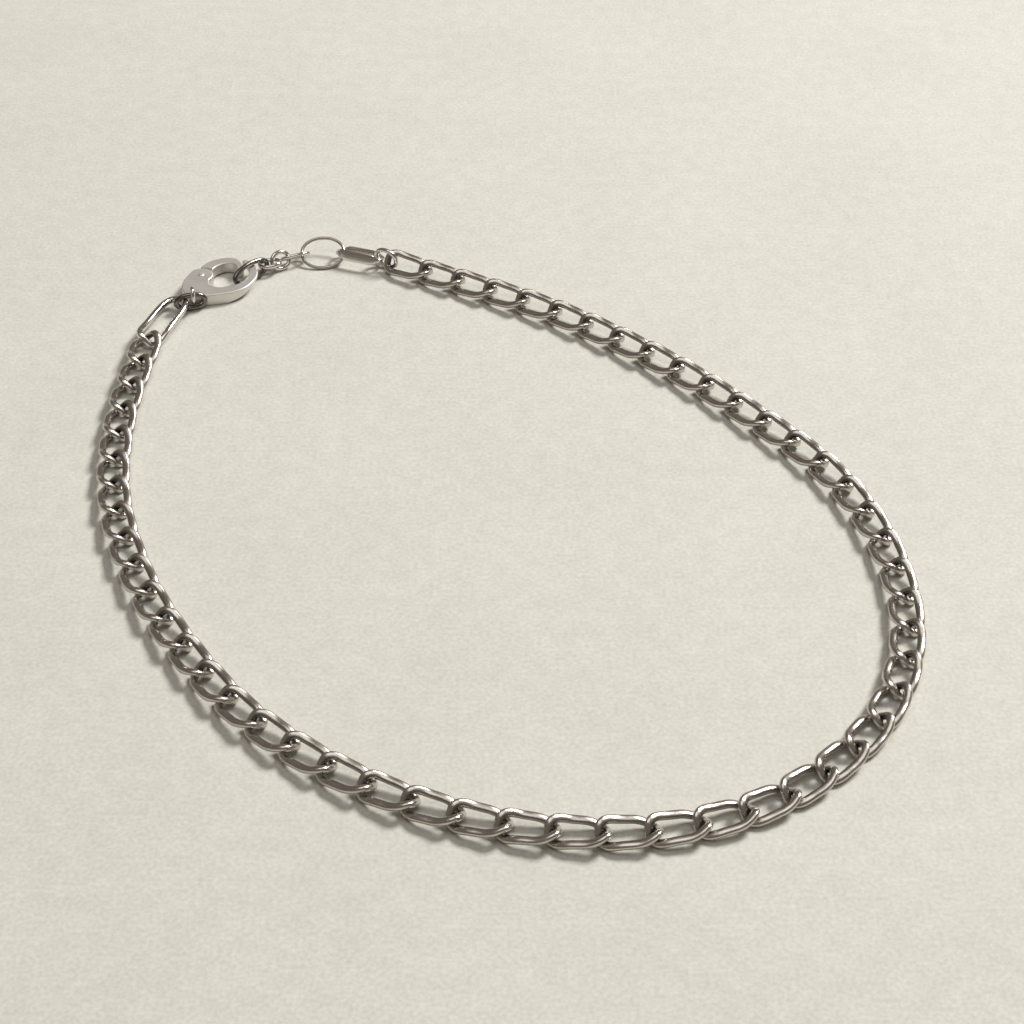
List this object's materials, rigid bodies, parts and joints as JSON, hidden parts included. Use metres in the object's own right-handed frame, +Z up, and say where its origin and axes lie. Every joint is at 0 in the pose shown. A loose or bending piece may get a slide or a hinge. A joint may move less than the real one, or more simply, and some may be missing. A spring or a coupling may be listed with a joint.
{
  "type": "link necklace",
  "caption": "Steel curb-link necklace lying closed in a loop, with a flat lobster clasp and a short run of small rings.",
  "frame": {"origin": "on the surface that the necklace lies on, under the middle of its loop", "axes": "+Z up from the surface, +Y along the loop's length towards the clasp's side, +X to the right"},
  "size_m": [0.1579, 0.1776, 0.0058],
  "materials": {
    "chain_steel": "satin steel, lightly scratched",
    "ring_steel": "polished steel wire",
    "dark_steel": "darker steel wire",
    "clasp_steel": "satin steel"
  },
  "bodies": {
    "necklace": {"chain_left": "chain_steel", "chain_right": "chain_steel", "end_link": "chain_steel", "knot_ring": "ring_steel", "tube_link": "ring_steel", "oval_ring": "ring_steel", "bar_link": "ring_steel", "small_ring": "ring_steel", "small_link": "ring_steel", "hook_link": "dark_steel", "clasp_ring": "dark_steel", "clasp_body": "clasp_steel"},
    "lever": {"clasp_lever": "clasp_steel"}
  },
  "joints": [
    {"name": "lever_hinge", "type": "hinge", "parent": "necklace", "child": "lever", "pos_m": [-0.06536, 0.07499, 0.0014], "axis": [0, 0, -1], "range_deg": [0, 12], "stiffness_Nm_per_rad": 0.004}
  ]
}
